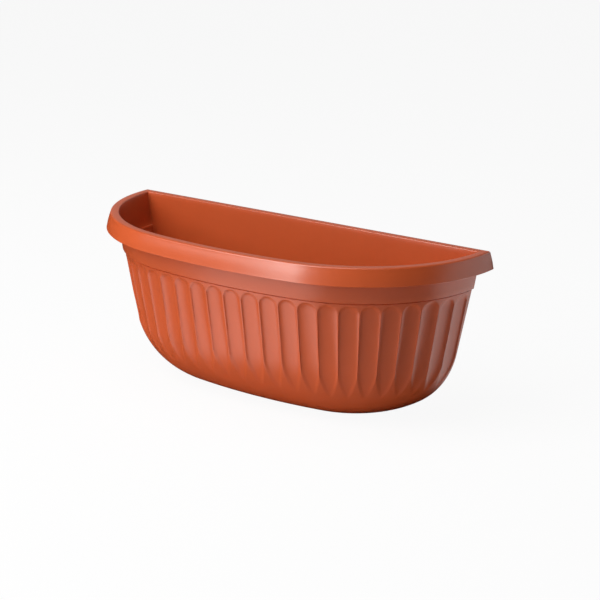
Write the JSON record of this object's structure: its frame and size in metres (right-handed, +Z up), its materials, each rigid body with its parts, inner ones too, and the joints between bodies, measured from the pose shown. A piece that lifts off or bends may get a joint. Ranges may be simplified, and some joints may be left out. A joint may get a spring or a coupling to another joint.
{
  "type": "wall planter",
  "caption": "Half-round plastic wall planter with a turned-down rim, fluted sides, a lift-out drain grid, push-in drain plugs and the wall screws it hangs on.",
  "frame": {"origin": "on the wall plane, midway between the two wall screws, level with their axes", "axes": "+X along the wall to the right as seen from the room, +Y into the wall, +Z up"},
  "size_m": [0.3992, 0.1788, 0.16],
  "materials": {
    "tub": "fine satin moulded polypropylene, terracotta",
    "grid": "satin moulded polypropylene, dark grey",
    "plug": "soft satin polyethylene, terracotta",
    "screw": "bright zinc",
    "anchor": "grey nylon"
  },
  "bodies": {
    "tub": {"planter_tub": "tub"},
    "grid": {"drain_grid": "grid", "grid_leg_left_back": "grid", "grid_leg_left_front": "grid", "grid_leg_right_back": "grid", "grid_leg_right_front": "grid"},
    "plug_left": {"drain_plug_left": "plug"},
    "plug_right": {"drain_plug_right": "plug"},
    "wall_fixings": {"wall_screw_left": "screw", "wall_screw_right": "screw", "wall_plug_left": "anchor", "wall_plug_right": "anchor"}
  },
  "joints": [
    {"name": "grid_lift", "type": "slide", "parent": "tub", "child": "grid", "axis": [0, 0, 1], "range_m": [0, 0.18]},
    {"name": "plug_left_pull", "type": "slide", "parent": "tub", "child": "plug_left", "axis": [0, 0, -1], "range_m": [0, 0.014]},
    {"name": "plug_right_pull", "type": "slide", "parent": "tub", "child": "plug_right", "axis": [0, 0, -1], "range_m": [0, 0.014]},
    {"name": "lift_off", "type": "slide", "parent": "tub", "child": "wall_fixings", "axis": [0, 0, -1], "range_m": [0, 0.022]}
  ]
}
